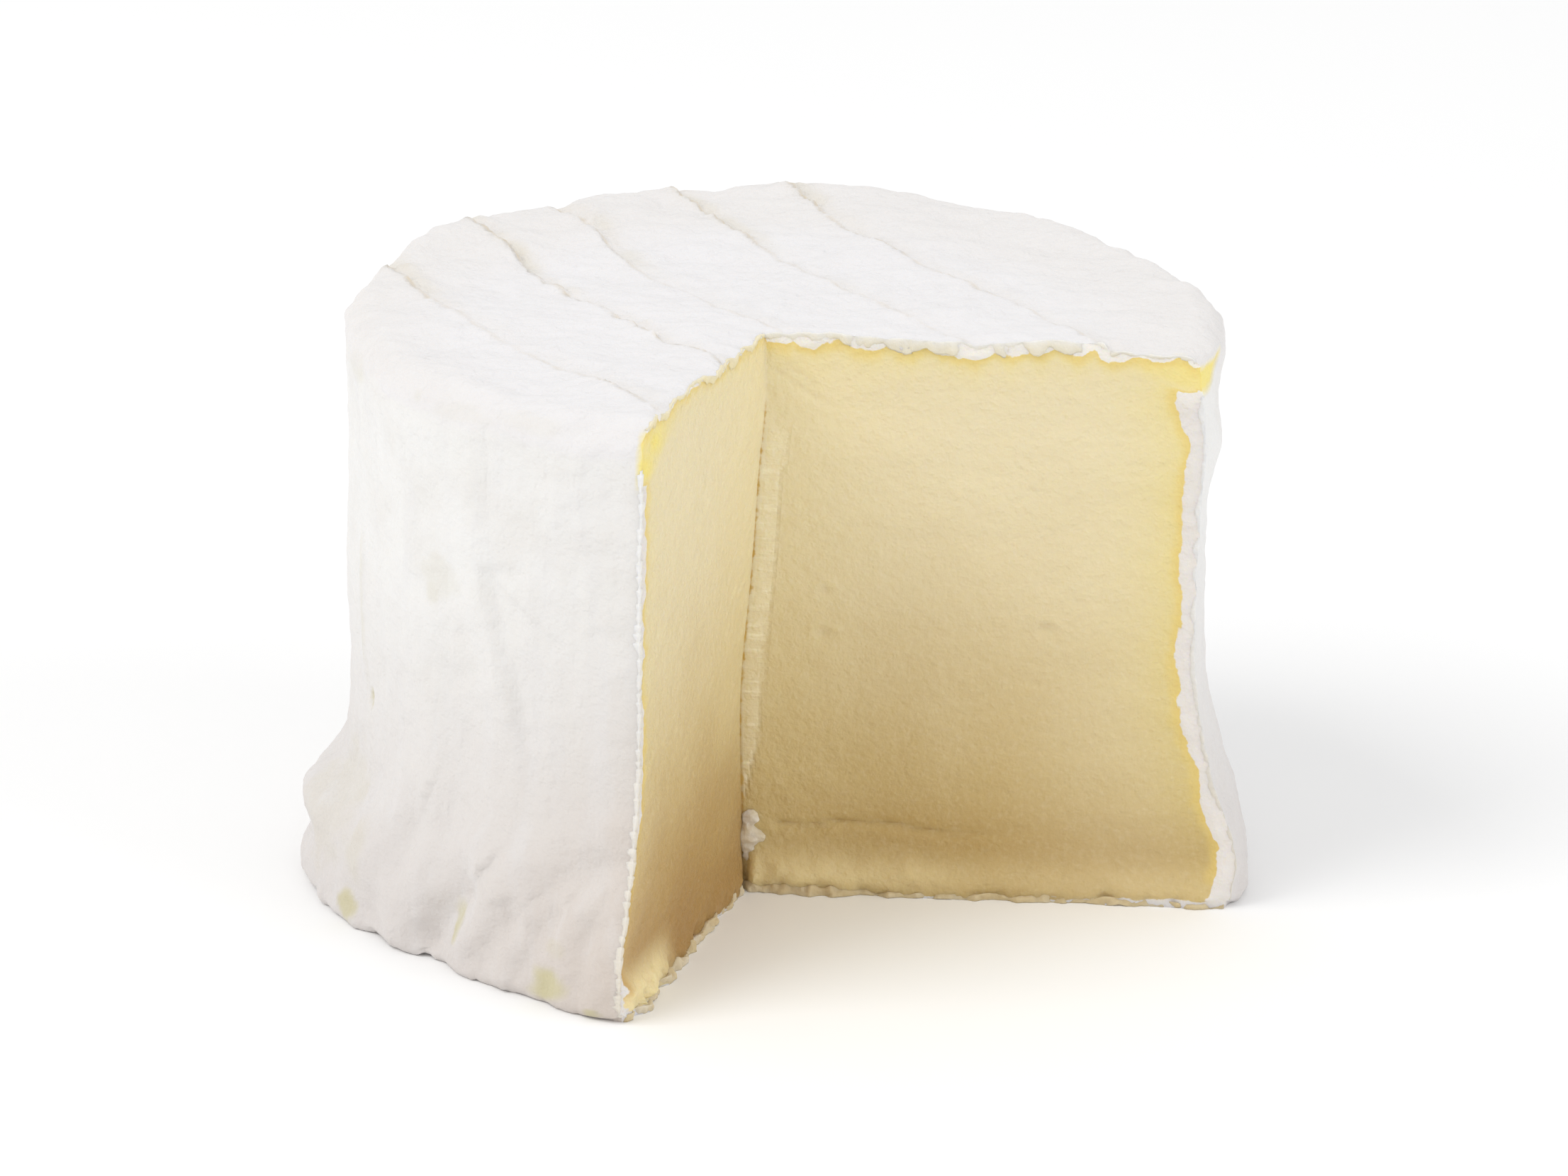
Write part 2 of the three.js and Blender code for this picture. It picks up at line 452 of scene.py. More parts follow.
def skin_relief(points, angle, z):
    """The small forms of the rind: lumps, streaks down the wall, puckers at the foot, and marks."""
    place = wall_place(angle, z)
    on_wall = rise(z, 0.3, 3) * (1 - rise(z, wheel_height - 4.5, wheel_height - 2))
    around = np.stack([wheel_radius * np.cos(angle), wheel_radius * np.sin(angle), z], axis=-1)
    relief = 0.26 * clouds(points, 8, 11) + 0.18 * clouds(points, 2.4, 15)
    streaks = 0.12 * clouds(around, (1.8, 1.8, 22), 21) + 0.14 * clouds(around, (4, 4, 11), 23)
    strokes = 0.32 * clouds(points, (5, 1.9, 3), 25) + 0.08 * cloud(points, (1.5, 0.7, 1), 26)
    relief += on_wall * streaks
    relief += (1 - on_wall) * strokes
    from_axis = np.hypot(points[..., 0], points[..., 1])
    at_rim = hump(z - wheel_height + 1, 4) * rise(from_axis, 26, 34)
    relief += at_rim * (0.3 * clouds(around, (4, 4, 30), 27) + 0.1 * clouds(around, (1.6, 1.6, 4), 28))
    near_foot = (1 - rise(z, 4, 17)) * rise(z, 0, 2)
    relief += near_foot * (0.46 * clouds(around, (5, 5, 7), 31) + 0.22 * clouds(around, 1.8, 35))
    gap, along = beside(place, unrolled(fold_line))
    taper = rise(along, 0, 0.4) * (1 - rise(along, 0.6, 1))
    step = 0.8 * rise(gap, -0.8, 0.9) * np.exp(-np.maximum(gap, 0) / 4)
    relief += taper * (0.25 * hump(gap + 1.4, 1.7) - step)
    gap, along = beside(place, unrolled(drip_line))
    relief += 0.2 * hump(gap, 0.45) * rise(along, 0, 0.1) * (1 - rise(along, 0.7, 1))
    for line, wide, deep in puckers:
        gap, along = beside(place, unrolled(line))
        relief -= 1.8 * deep * hump(gap, wide) - 0.8 * deep * hump(gap + 2.2 * wide, 1.4 * wide)
    dent = hump(degrees_apart(angle, -135), 4) * hump(z - 35.3, 3)
    dimple = hump(degrees_apart(angle, -156.8), 0.9) * hump(z - 19.6, 0.8)
    return relief - 0.3 * dent - 0.5 * dimple


skin_angle = np.arctan2(skin[..., 1], skin[..., 0])
skin_normal = net_normals(skin)
skin_normal[-1] = (0, 0, 1)
relief = skin_relief(skin, skin_angle, skin[..., 2])

# The skin dips towards both cuts, and near the rim of the right-hand one it is torn off.
near_left = np.clip(1 - left_gap / 1.3, 0, 1) ** 2
near_right = np.clip(1 - right_gap / 1.0, 0, 1) ** 2
ragged = 0.75 + 0.45 * clouds(skin, 1.3, 41)
relief -= (near_left * (0.5 - 0.2 * on_top) + near_right * 0.3) * ragged
past_tear = right_gap - 1.7 * (height - 49.2) + 0.5 * cloud(skin, 1.2, 94)
torn_skin = rise(height, 49.2, 49.9) * (1 - rise(height, 51.6, 52.5))
torn_skin = torn_skin * (1 - rise(past_tear, 0.4, 1.2))
relief -= 0.35 * torn_skin

# At its two ends the skin moves only within the cuts, so that the faces can meet it.
for end in (0, -1):
    across = np.stack([-heading[:, end, 1], heading[:, end, 0], 0 * heading[:, end, 0]], axis=-1)
    lean = np.sum(skin_normal[:, end] * across, axis=-1, keepdims=True)
    skin_normal[:, end] -= lean * across
skin = skin + relief[..., None] * skin_normal
skin[0, :, 2] = 0
skin[:, :, 2] = np.maximum(skin[:, :, 2], 0)
skin[-1] = skin[-1].mean(axis=0)
edge_wave = rise(skin[..., 2], 49, 51) * rise(out, 0.5, 3)
for end, gap in ((0, right_gap), (-1, left_gap)):
    side = np.array((-heading[0, end, 1], heading[0, end, 0], 0)) * (1 if end == 0 else -1)
    shift = edge_wave * np.clip(1 - gap / 1.6, 0, 1) * 0.4 * clouds(skin, 1.5, 43 - end)
    skin -= shift[..., None] * side


# Each cut face is a net stretched between an end of the skin and the corner line. Places on it are
# given as rho, the millimetres out from the straight corner line, and the height z.
def face_net(edge):
    """Fills the outline of a cut face. edge is one end of the skin, from its foot to the corner."""
    wall = edge[:side_rows + 1]
    top = edge[side_rows:][::-1]
    run = np.linalg.norm(np.diff(wall, axis=0), axis=-1)
    v = np.concatenate([[0], np.cumsum(run)]) / run.sum()
    corner_side = np.append(foot_corner, 0) * (1 - v[:, None]) + top[0] * v[:, None]
    u = (np.linalg.norm(top - top[0], axis=-1) / np.linalg.norm(top[-1] - top[0]))[None, :, None]
    v = v[:, None, None]
    foot = corner_side[0] + (wall[0] - corner_side[0]) * u[0]
    blend_up = foot[None] * (1 - v) + top[None] * v
    blend_out = corner_side[:, None] * (1 - u) + wall[:, None] * u
    corners = (foot[0] * (1 - u) + foot[-1] * u) * (1 - v) + (top[0] * (1 - u) + top[-1] * u) * v
    return blend_up + blend_out - corners


right_net = face_net(skin[:, 0])
left_net = face_net(skin[:, -1])


def face_place(net):
    """The places of a face net's points on their face."""
    away = net[..., :2] - corner_at(net[..., 2])
    return np.stack([np.linalg.norm(away, axis=-1), net[..., 2]], axis=-1)


def scallops(along, period):
    """A row of uneven lobes, 1 at their middles and 0 between them."""
    wander = 0.9 * np.sin(along / 4.3) + 0.5 * np.sin(along / 1.9)
    return np.abs(np.sin(np.pi * along / period + wander))


# How deep the rind's white cut edge goes on each face, below the top, in from the wall and above
# the foot, and the ripe yellow cream beside it. Near the rim the rind was torn off both faces.
right_place = face_place(right_net)
left_place = face_place(left_net)
lobe_period = 3.8
face_looks = []
for is_right, place, net, seed, period, thick_top, wide_side in (
    (True, right_place, right_net, 51, lobe_period, (0.6, 0.75), 1.5),
    (False, left_place, left_net, 71, 1.6, (0.12, 0.2), 1.15),
):
    rho, z = place[..., 0], place[..., 1]
    below_top = np.abs(beside(place, place[-1])[0])
    inside_wall = np.abs(beside(place, place[:, -1])[0])
    tooth = 0.3 * cloud(net, 1.0, seed) + 0.16 * cloud(net, 0.5, seed + 3)
    lobes = scallops(rho, period)
    top_edge = (thick_top[0] + thick_top[1] * lobes) * (0.6 + 0.4 * rise(rho, 0, 4))
    top_edge = top_edge * (1 - 0.65 * rise(rho, 29, 35)) + tooth
    outer = place[:, -1:, 0]
    side_edge = wide_side + 0.35 * np.sin(z / 1.7) * np.sin(z / 4.1 + 1) + tooth
    if is_right:
        torn_foot = 49.4 + 1.9 * rise(outer - rho, 1, 6)
        side_edge = side_edge + 0.9 * rise(z, 43, 48)
    else:
        torn_foot = 47.7 + 3.2 * rise(outer - rho, 0, 9)
        side_edge = side_edge - 0.9 * (1 - rise(z, 4, 16))
    torn_zone = rise(z, torn_foot - 0.4, torn_foot + 0.2)
    side_edge = side_edge * (1 - torn_zone) - 0.6 * torn_zone
    foot_edge = 0.1 + 0.7 * tooth + 0.6 * rise(rho, 24, 36)
    under = np.minimum(below_top - top_edge, inside_wall - side_edge)
    under = np.minimum(under, z - foot_edge)

    # The knife left the faces flat, so the waves of their edges die out close to them.
    twist = (left_face_at_top - left_face_at_foot) * z / wheel_height
    turn = np.radians(right_face + 0 * z if is_right else left_face_at_foot + twist)
    outward = np.stack([np.sin(turn), -np.cos(turn), 0 * z], axis=-1) * (1 if is_right else -1)
    outward = outward + 0 * net
    off = np.sum((net[..., :2] - corner_at(z)) * outward[..., :2], axis=-1)
    near_edge = off[-1] * np.exp(-below_top / 0.7) + off[:, -1:] * np.exp(-inside_wall / 0.7)
    net[:-1, 1:-1] += ((near_edge - off)[..., None] * outward)[:-1, 1:-1]
    net += knife_drift(place)

    top_ripe, side_ripe, side_depth, torn_reach = (1, 1, 3.2, 8) if is_right else (0.6, 0.5, 1.6, 11)
    ripe_top = np.exp(-np.maximum(below_top - top_edge, 0) / 1.3)
    ripe_side = np.exp(-np.maximum(inside_wall - side_edge, 0) / side_depth)
    ripe = np.maximum(ripe_top * top_ripe, ripe_side * (1 - torn_zone) * side_ripe)
    torn = rise(z, torn_foot - 0.9, torn_foot + 0.6) * (1 - rise(outer - rho, 1, torn_reach))
    torn = torn * (0.8 + 0.5 * cloud(net, 1.6, 95)) * rise(below_top - top_edge, -0.3, 0.5)
    face_looks.append([under, ripe, torn, below_top, inside_wall])

# The slit where the knife's two cuts crossed, with a strip beside it that the blade's flank ribbed,
# a tear above the pressed foot, two pits and two scratches, all on the right face.
strip_edge = (
    (0.4, 9), (1.6, 14.6), (1.9, 19), (2.0, 30.7), (2.0, 35.4), (2.1, 38.4), (2.3, 42), (2.3, 45),
    (0.7, 47.5),
)
tear_line = ((1.2, 6.8), (3.5, 6.5), (5.7, 6.2), (8.0, 6.8), (12, 7.0), (19, 6.1), (26, 6.6))
scratches = (((0.4, 50.3), (2.4, 49.0), (5.0, 47.3)), ((2.0, 50.4), (4.4, 48.9)))
pits = ((6.6, 29.3, 0.8), (6.7, 25.2, 1.1), (26.6, 26.6, 1.2))

rho, z = right_place[..., 0], right_place[..., 1]
under, _, _, below_top, inside_wall = face_looks[0]
body = rise(np.minimum(below_top, inside_wall), 0, 1.2) * rise(rho, 0, 0.8)
strip_rho, strip_z = np.array(strip_edge).T
strip = rise(np.interp(z, strip_z, strip_rho, left=0, right=0) - rho, -0.15, 0.15)
strip = strip * (1 - rise(z, 43, 46.5)) * rise(rho, 0.1, 0.35)
tear = beside(right_place, tear_line)[0]
pressed = rise(tear, -0.1, 0.35) * (1 - rise(rho, 22, 30))
relief = 0.1 * clouds(right_net, (9, 9, 3), 52) + 0.05 * clouds(right_net, 1.3, 56)
relief += 0.09 * strip * rise(z, 8, 12) * (1 + 1.2 * clouds(right_net / (4, 4, 1), 1.1, 58))
lip_here = hump(z - 1.9, 1.9) * rise(rho, 0.2, 1.2) * (1 - 0.5 * rise(rho, 10, 26))
relief += pressed * 0.2 + 1.5 * lip_here * (0.8 + 0.5 * clouds(right_net, 2.6, 60))
relief -= 0.35 * hump(tear, 0.4) * rise(rho, 1.5, 4) * (1 - rise(rho, 14, 26))
for at, level, size in pits:
    gap = np.hypot(rho - at, (z - level) * 1.4)
    brow = hump(gap - size, 0.4) * rise(z, level - 0.2, level + 0.3)
    relief += 0.14 * brow - 0.3 * hump(gap, 0.6 * size)
for line in scratches:
    relief -= 0.18 * hump(beside(right_place, line)[0], 0.25)
relief += 0.16 * (1 - rise(under, -0.4, 0.1)) * (0.7 + 0.8 * cloud(right_net, 1.1, 63))
relief -= 0.25 * np.clip(1 - inside_wall / 1.2, 0, 1) ** 2
right_outward = np.array((math.sin(math.radians(right_face)), -math.cos(math.radians(right_face)), 0))
right_net[:, 1:-1] += ((body * relief)[..., None] * right_outward)[:, 1:-1]

# The left face was dragged into slanting strokes, and is lumpy at its foot, most so far out.
rho, z = left_place[..., 0], left_place[..., 1]
under, _, _, below_top, inside_wall = face_looks[1]
body = rise(np.minimum(below_top, inside_wall), 0, 1.2) * rise(rho, 0, 0.8)
dragged = np.stack([(0.53 * rho + 0.85 * z) / 0.8, (0.53 * z - 0.85 * rho) / 2.8, 0 * z], axis=-1)
relief = 0.12 * clouds(left_net, (9, 9, 4), 72) + 0.16 * clouds(dragged, 1.0, 76)
relief += 0.4 * (1 - rise(z, 1.0, 4.0)) * (0.6 + 0.8 * clouds(left_net, 2.5, 79))
relief += 0.9 * (1 - rise(z, 2, 5)) * rise(rho, 21, 28) * (0.7 + 0.9 * clouds(left_net, 1.5, 80))
relief += 0.12 * (1 - rise(under, -0.4, 0.1)) * (0.7 + 0.8 * cloud(left_net, 0.9, 83))
relief -= 0.45 * np.clip(1 - inside_wall / 1.3, 0, 1) ** 2 * (0.8 + 0.5 * cloud(left_net, 0.9, 85))
left_bearing = math.radians((left_face_at_foot + left_face_at_top) / 2)
left_outward = np.array((-math.sin(left_bearing), math.cos(left_bearing), 0))
left_net[:, 1:-1] += ((body * relief)[..., None] * left_outward)[:, 1:-1]

# Along the foot both faces are frayed.
for net, place, outward in (
    (right_net, right_place, right_outward),
    (left_net, left_place, left_outward),
):
    frayed = (1 - rise(place[..., 1], 0.2, 2.2)) * rise(place[..., 0], 0.3, 1.5)
    frayed[:, -1] = 0
    net += (frayed * (0.1 + 0.5 * clouds(net, 1.6, 87)))[..., None] * outward


# The skin, the two faces and the flat underside are joined into one closed mesh.
def net_faces(index):
    """Four-cornered faces of a net of vertex numbers, without the ones that have no area."""
    quads = np.stack([index[:-1, :-1], index[:-1, 1:], index[1:, 1:], index[1:, :-1]], axis=-1)
    faces = []
    for quad in quads.reshape(-1, 4).tolist():
        face = [v for i, v in enumerate(quad) if v != quad[i - 1]]
        if len(face) > 2:
            faces.append(face)
    return faces


def face_index(edge, corner_side, first):
    """Vertex numbers of a face net: its top and wall are the skin's, its corner is shared."""
    index = np.zeros((side_rows + 1, top_rows + rim_rows // 2), int)
    inside = index[:-1, 1:-1]
    index[:-1, 1:-1] = first + np.arange(inside.size).reshape(inside.shape)
    index[:, -1] = edge[:side_rows + 1]
    index[-1] = edge[side_rows:][::-1]
    index[:-1, 0] = corner_side
    return index


skin_index = np.arange(rows * columns).reshape(rows, columns)
skin_index[-1] = skin_index[-1, 0]
corner_index = rows * columns + np.arange(side_rows)
first_right = rows * columns + side_rows
first_left = first_right + right_net[:-1, 1:-1, 0].size
right_index = face_index(skin_index[:, 0], corner_index, first_right)
left_index = face_index(skin_index[:, -1], corner_index, first_left)
points = np.concatenate([
    skin.reshape(-1, 3), right_net[:-1, 0],
    right_net[:-1, 1:-1].reshape(-1, 3), left_net[:-1, 1:-1].reshape(-1, 3),
])
underside = np.concatenate([skin_index[0, ::-1], right_index[0, -2:0:-1], left_index[0, :-1]])
skin_faces = net_faces(skin_index) + [underside.tolist()]
cut_faces = net_faces(right_index[:, ::-1]) + net_faces(left_index)

# Numbers painted on the points tell the two materials where each look belongs.
names = ("under_rind", "ripe", "torn", "strip", "lip", "tan", "rim", "top", "from_corner")
painted = {name: np.zeros(len(points)) for name in names}
painted["from_corner"] += 30.0
painted["under_rind"] -= 2.0
for index, look in ((right_index, face_looks[0]), (left_index, face_looks[1])):
    painted["under_rind"][index], painted["ripe"][index], painted["torn"][index] = look[:3]
    away = points[index][..., :2] - points[index[:, :1]][..., :2]
    painted["from_corner"][index] = np.linalg.norm(away, axis=-1)
on_skin = slice(rows * columns)
painted["torn"][on_skin] = np.maximum(painted["torn"][on_skin], torn_skin.ravel())
painted["strip"][right_index] = strip
painted["lip"][right_index] = lip_here
left_rho, left_z = left_place[..., 0], left_place[..., 1]
painted["lip"][left_index] = 1.4 * (1 - rise(left_z, 2, 5.5)) * rise(left_rho, 20, 28)
# Painted shade: the left face darkens to tan towards its foot.
painted["tan"][left_index] = 1 - rise(left_z + 4 * cloud(left_net, 6, 96), 0, 24)
# Painted shade: a darker band over the rounded rim and the outer top.
rim_shade_band = hump(height - wheel_height + 0.9, 2.2) * rise(out, 25, 37)
painted["rim"][on_skin] = rim_shade_band.ravel()
white_from = wheel_height - 3.6 + 0.9 * clouds(skin, 3.5, 29)
painted["top"][on_skin] = rise(height - white_from, 0, 0.9).ravel()
painted["height"] = points[:, 2]
rack_number, rack_along = rack_place(points)
untilted = points[:, 2] - top_tilt * points[:, 1]
on_rack = rise(untilted, wheel_height - 4, wheel_height - 1.8)
painted["rack"] = rack_number
painted["rack_crack"] = rack_strength(rack_number, rack_along, points) * on_rack
beside_line = hump((rack_number - np.round(rack_number)) * rack_spacing - 0.8, 1.1)
painted["rack_shade"] = beside_line * painted["rack_crack"]
stain = 0.5 * beside_line * rise(-rack_along, 10, 32) * on_rack
stain = stain * rise(cloud(points, 3.0, 91), -0.5, 0.4)
point_angle = np.arctan2(points[:, 1], points[:, 0])
is_skin = np.arange(len(points)) < rows * columns
for at, level, wide, tall, strong in spots:
    around = degrees_apart(point_angle, at) * wheel_radius * np.pi / 180
    gap = np.hypot(around / wide, (points[:, 2] - level) / tall)
    gap = gap + 0.35 * cloud(points, 1.2, 93)
    stain = np.maximum(stain, strong * (1 - rise(gap, 0.55, 1.15)) * is_skin)
painted["stain"] = stain
from_left_cut = wheel_radius * np.radians(np.abs(degrees_apart(point_angle, left_face_at_foot)))
painted["near_cut"] = np.exp(-from_left_cut / 12) * is_skin * (1 - on_rack)


def add_piece(name, points, faces, painted):
    """Makes a smooth mesh from points in millimetres, with numbers painted on the points."""
    mesh = bpy.data.meshes.new(name)
    mesh.from_pydata(((points + wheel_axis) * MM).tolist(), [], faces)
    for attribute, values in painted.items():
        layer = mesh.attributes.new(attribute, "FLOAT", "POINT")
        layer.data.foreach_set("value", values.astype(np.float32))
    mesh.polygons.foreach_set("use_smooth", np.ones(len(mesh.polygons), bool))
    piece = bpy.data.objects.new(name, mesh)
    bpy.context.scene.collection.objects.link(piece)
    return piece


cheese = add_piece("cut_cheese", points, skin_faces + cut_faces, painted)
in_cut = np.repeat([0, 1], [len(skin_faces), len(cut_faces)])
cheese.data.polygons.foreach_set("material_index", in_cut)
cheese.data.set_sharp_from_angle(angle=math.radians(55))

# The rind is dry white mould, felted like suede. It thins to cream where the rack and the
# table touched it. Towards the foot it is greyer and warmer: painted shade, partly its own tone.
torn_paint = paint(239, 222, 134)
rind = Surface("bloomy_rind")
felt = rind.noise(0.35) * 0.08 + rind.noise(0.9) * 0.15
felt = felt + rind.noise((1.6, 1.6, 9)) * 0.16 + rind.noise(3.5) * 0.3
gap = rind.node("ShaderNodeMath", {"operation": "PINGPONG"}, {0: rind.painted("rack"), 1: 0.5})
crack = (1 - rind.rise(gap * rack_spacing, 0.0, 0.55)) * rind.painted("rack_crack")
crack = crack * rind.rise(rind.noise(1.4), 0.25, 0.6)

# White bloom in faint clouds, a shade cooler on the top, greyer by the left cut, most near the
# foot, and greyer at the foot as painted shade.
bloom = rind.mix(rind.rise(rind.noise(6.0), 0.35, 0.7), paint(232, 231, 229), paint(228, 226, 223))
bloom = rind.mix(rind.painted("top") * 0.9, bloom, paint(228, 226, 227))
# Painted shade: the bloom grows darker and greyer towards the foot.
foot_shade = rind.rise(rind.painted("height") + rind.noise(6.0) * 14, 47.0, 4.0)
bloom = rind.mix(foot_shade * 0.9, bloom, paint(209, 203, 200))
bloom = rind.mix(rind.painted("near_cut") * (foot_shade * 0.75 + 0.15), bloom, paint(203, 190, 178))

# The cream spots, faint grey streaks down the wall, painted shade on the rim, the rack lines with
# their painted shade, and the torn corner.
bloom = rind.mix(rind.painted("stain") * 0.9, bloom, paint(198, 190, 152))
bloom = rind.mix(rind.rise(rind.noise((2.4, 2.4, 15)), 0.45, 0.75) * 0.3, bloom, paint(221, 219, 219))
# The rim's band of painted shade.
bloom = rind.mix(rind.painted("rim") * 0.6, bloom, paint(225, 221, 217))
# Painted shade beside each rack line, on the low side of its step, warmed to a cream grey.
bloom = rind.mix(rind.painted("rack_shade") * rind.noise(1.2) * 0.6, bloom, paint(219, 211, 198))
# The cracks are painted darker: a cream tint and painted shade in the crack.
bloom = rind.mix(crack * 0.6, bloom, paint(208, 188, 152))
bloom = rind.mix(rind.painted("torn"), bloom, torn_paint)
rind_material = rind.finish(
    Base_Color=bloom, Roughness=0.92, Specular_IOR_Level=0.2,
    Sheen_Weight=0.12, Sheen_Roughness=0.6,
    Subsurface_Weight=0.2, Subsurface_Radius=(1.0, 0.9, 0.8), Subsurface_Scale=0.0009,
    Normal=rind.bump(felt - crack * 0.12),
)

# The cut faces are moist pale yellow paste, yellower just under the rind, where it ripens first.
# The rind's cut edge shows as a white line with a scalloped inner side.
paste = Surface("cut_paste")
under = paste.painted("under_rind") + paste.noise(0.55) * 0.4 - 0.2
in_paste = paste.rise(under, -0.05, 0.1)

# Pale paste, ripe and yellow at its edges, browner towards the foot as painted shade, and
# lighter near the corner as painted light.
colour = paste.mix(paste.painted("ripe"), paint(230, 217, 181), paint(232, 216, 147))
# Painted shade: the paste browns towards the foot, less so far out from the corner.
low = paste.rise(paste.painted("height") + paste.noise(9.0) * 10, 52.0, 0.0)
low = low * (1 - paste.rise(paste.painted("from_corner"), 20.0, 38.0) * 0.4)
colour = paste.mix(low, colour, paint(191, 162, 96))
# More painted shade over the lowest few millimetres.
colour = paste.mix(paste.rise(paste.painted("height"), 13.0, 3.0) * 0.4, colour, paint(168, 133, 76))
# Painted light: the paste is lighter near the corner, where the two faces shade each other.
corner_light_paint = paste.rise(paste.painted("from_corner"), 16.0, 1.0)
colour = paste.mix(corner_light_paint * 0.25, colour, paint(240, 224, 168))
colour = paste.mix(paste.rise(paste.noise(0.5), 0.42, 0.8) * 0.1, colour, paint(243, 233, 203))

# The pale ribbed strip beside the corner, and the slit in the corner itself: deep yellow, and
# dark with painted shade in place of a deep crevice.
ribs = paste.noise((4, 4, 0.7), 3.0)
ticks = paste.rise(ribs, 0.55, 0.72)
colour = paste.mix(paste.painted("strip") * (ticks * 0.5 + 0.4), colour, paint(246, 236, 205))
# Painted shade: the slit's darkness stands in for the shade of a crevice.
slit_shade = paste.rise(paste.painted("from_corner") + paste.noise(0.8) * 0.9, 0.66, 0.36)
slit_shade = slit_shade * paste.rise(paste.painted("height"), 6.0, 8.0)
slit_shade = slit_shade * paste.rise(paste.painted("height"), 47.5, 45.5)
colour = paste.mix(slit_shade * 0.9, colour, paint(203, 163, 68))

# Painted shade darkening the left face's lower part to tan, the pale lips at the foot, and
# the torn corners.
colour = paste.mix(paste.painted("tan") * 0.73, colour, paint(160, 121, 70))
colour = paste.mix(paste.painted("tan") * paste.painted("ripe"), colour, paint(226, 192, 132))
colour = paste.mix(paste.painted("lip") * 0.7, colour, paint(236, 218, 168))
colour = paste.mix(paste.painted("torn"), colour, torn_paint)

# A golden line close under the rind, and the cut edge of the rind itself.
under_edge = paste.rise(under, 1.3, 0.0) * paste.rise(paste.painted("height"), 1.5, 3.5)
# Under the left face's painted shade, the golden line is darker brown.
gold = paste.mix(paste.painted("tan"), paint(229, 203, 120), paint(184, 140, 70))
colour = paste.mix(under_edge * 0.65, colour, gold)
below_rim = paste.rise(paste.painted("height"), 51.0, 47.0)
cut_rind = paste.mix(below_rim, paint(236, 232, 225), paint(227, 222, 217))
colour = paste.mix(in_paste, cut_rind, colour)
grain = paste.noise(0.3) * 0.08 + paste.noise(0.8) * 0.18 + paste.noise(2.0) * 0.16
paste_material = paste.finish(
    Base_Color=colour, Roughness=0.55, Specular_IOR_Level=0.35,
    Subsurface_Weight=0.4, Subsurface_Radius=(1.0, 0.8, 0.4), Subsurface_Scale=0.0015,
    Normal=paste.bump(grain + ribs * paste.painted("strip") * 0.3),
)
cheese.data.materials.append(rind_material)
cheese.data.materials.append(paste_material)
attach(cheese, "root")
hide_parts("cheese_wheel")

# Where the knife broke the rind, its cut edge is a soft crumbly lip. One ribbon follows each edge of
# the two cuts: along the top, down the wall, and along the foot, where it was pulled off the table.
right_way = np.array((math.cos(math.radians(right_face)), math.sin(math.radians(right_face)), 0))
left_way = np.array((math.cos(left_bearing), math.sin(left_bearing), 0))
ribbon_step = 0.14
ribbon_depth = 0.4
ribbon_points = []
ribbon_faces = []
ribbon_creams = []


def resampled(line, step):
    """The line's points at even steps, with how far along it each of them lies."""
    run = np.concatenate([[0], np.cumsum(np.linalg.norm(np.diff(line, axis=0), axis=-1))])
    along = np.arange(0, run[-1], step)
    return np.stack([np.interp(along, run, line[:, i]) for i in range(3)], axis=-1), along


def add_ribbon(section, creams):
    """Adds a closed ribbon. section holds, for each step along it, the ring of its cross-section."""
    first = sum(len(points) for points in ribbon_points)
    steps, ring = section.shape[:2]
    index = first + np.arange(steps * ring).reshape(steps, ring)
    after = np.roll(index, -1, axis=1)
    quads = np.stack([index[:-1], index[1:], after[1:], after[:-1]], axis=-1).reshape(-1, 4)
    ribbon_points.append(section.reshape(-1, 3))
    ribbon_faces.extend(quads.tolist())
    ribbon_faces.extend([index[0].tolist(), index[-1, ::-1].tolist()])
    ribbon_creams.append(np.broadcast_to(creams, index.shape).ravel())


def add_lip(edge, outward, over, down, bulge, rough, cream, seed):
    """Adds a ribbon along an edge that reaches over onto the skin and down the face.

    The outward direction is the face's own; over, down and bulge are in millimetres at each point
    of the edge, and cream says how yellow the ribbon is at its skin end and at its face end.
    """
    along = np.gradient(edge, axis=0)
    along /= np.linalg.norm(along, axis=-1, keepdims=True)
    up = np.cross(along, outward)
    up /= np.linalg.norm(up, axis=-1, keepdims=True)
    if np.sum(up * (edge - edge.mean(axis=0) + (0, 0, 30))) < 0:
        up = -up
    turn = np.linspace(0, 1, 9)
    swell = bulge[:, None] * (1 - (1 - turn) ** 2) - 0.06 * (1 - turn)
    on_skin = np.stack([-over[:, None] * (1 - turn), swell], axis=-1)
    on_face = np.stack([swell[:, ::-1], -down[:, None] * turn], axis=-1)
    rounded = np.stack([bulge * 0.8, bulge * 0.8], axis=-1)[:, None]
    under_face = np.stack([0 * down - ribbon_depth, -down + 0.1], axis=-1)[:, None]
    under_skin = np.stack([-over + 0.1, 0 * over - ribbon_depth], axis=-1)[:, None]
    flat = np.concatenate([under_skin, on_skin, rounded, on_face, under_face], axis=1)
    section = edge[:, None] + flat[..., :1] * outward[:, None] + flat[..., 1:] * up[:, None]

    # The ribbon is uneven, most on its crest; its two hidden ends aren't moved.
    from_skin = np.stack([turn * (0.2 + 0.4 * turn), turn * (1 - 0.3 * turn)], axis=-1)
    to_face = np.stack([1 - 0.3 * (1 - turn), 0.3 * (1 - turn)], axis=-1)
    hidden_end = np.zeros((1, 2))
    normal = np.concatenate([hidden_end, from_skin, [[0.7, 0.7]], to_face, hidden_end])
    waves = rough * (1.2 * clouds(section, 1.1, seed) + cloud(section, 0.42, seed + 7))
    away = normal[None, :, :1] * outward[:, None] + normal[None, :, 1:] * up[:, None]
    section = section + waves[..., None] * away
    share = np.concatenate([[0], 0.1 * turn, [0.15], 0.2 + 0.8 * turn, [1]])[None]
    add_ribbon(section, cream[0] * (1 - share) + cream[1] * share)


